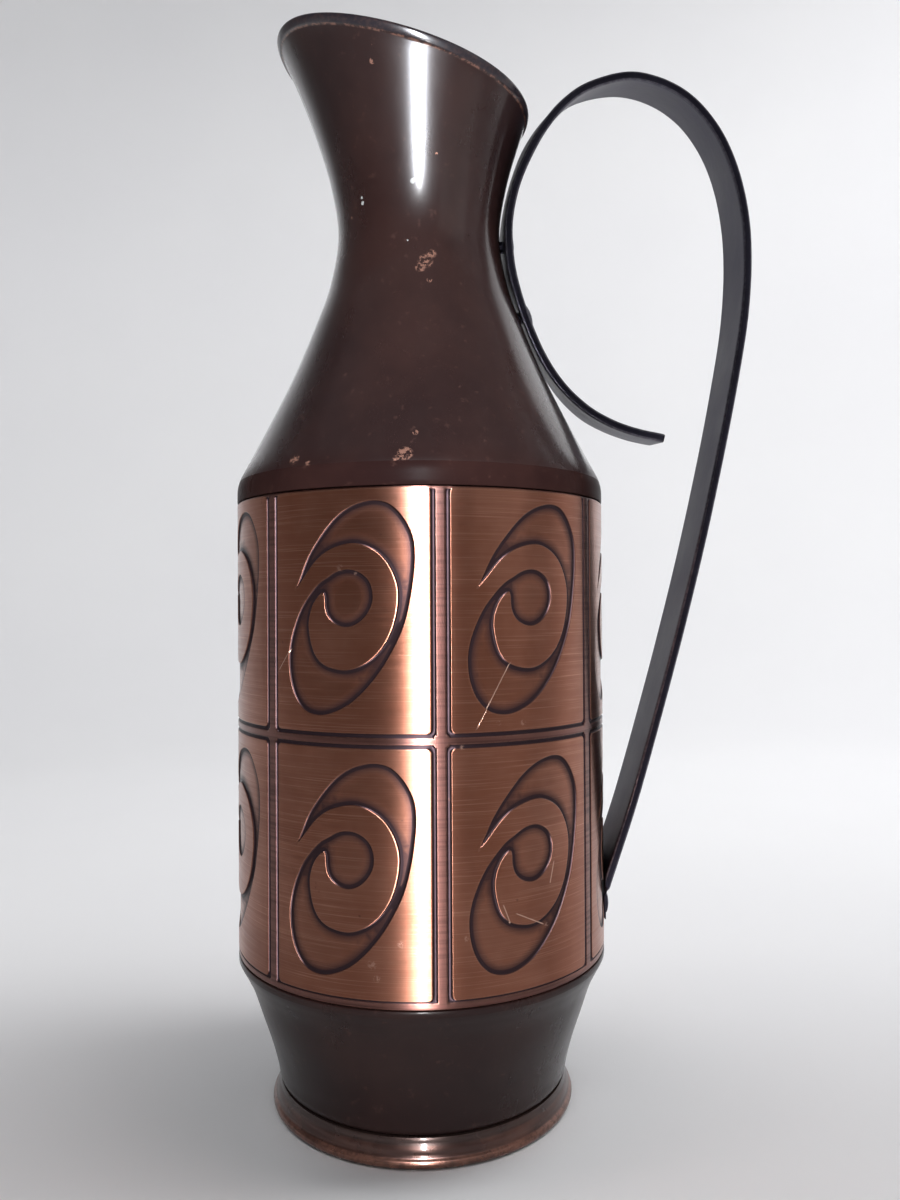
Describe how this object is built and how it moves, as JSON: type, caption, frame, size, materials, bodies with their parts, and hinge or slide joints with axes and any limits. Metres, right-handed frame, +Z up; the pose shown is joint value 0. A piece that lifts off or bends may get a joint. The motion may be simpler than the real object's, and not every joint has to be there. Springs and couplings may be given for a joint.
{
  "type": "copper water jug",
  "caption": "Tall copper jug with a cylindrical embossed relief band, a waisted neck flaring to an oblique pouring lip, a foot ring and a curled iron strap handle.",
  "frame": {"origin": "middle of the bounding box, on the surface that the foot ring stands on; the jug's own axis is vertical at x = -0.0206 m", "axes": "+Z up along the jug's axis, +X towards the handle, -X towards the pouring lip, -Y is the side shown with the handle on the right"},
  "size_m": [0.1414, 0.1, 0.2895],
  "materials": {
    "dark_lacquered_copper": "dark brown lacquer over spun copper, glossy, with small worn copper spots",
    "brushed_copper": "embossed copper sheet brushed around the jug, dark patina in the recesses",
    "worn_foot_copper": "brown copper, rubbed bright along the lip",
    "blackened_iron": "satin black wrought iron strap with lighter rubbed edges",
    "rivet_iron": "blackened domed rivet"
  },
  "bodies": {
    "root": {"neck_shoulder": "dark_lacquered_copper", "relief_band": "brushed_copper", "lower_body": "dark_lacquered_copper", "foot_ring": "worn_foot_copper", "handle_strap": "blackened_iron", "handle_rivet_upper_a": "rivet_iron", "handle_rivet_upper_b": "rivet_iron", "handle_rivet_lower": "rivet_iron"}
  },
  "joints": []
}
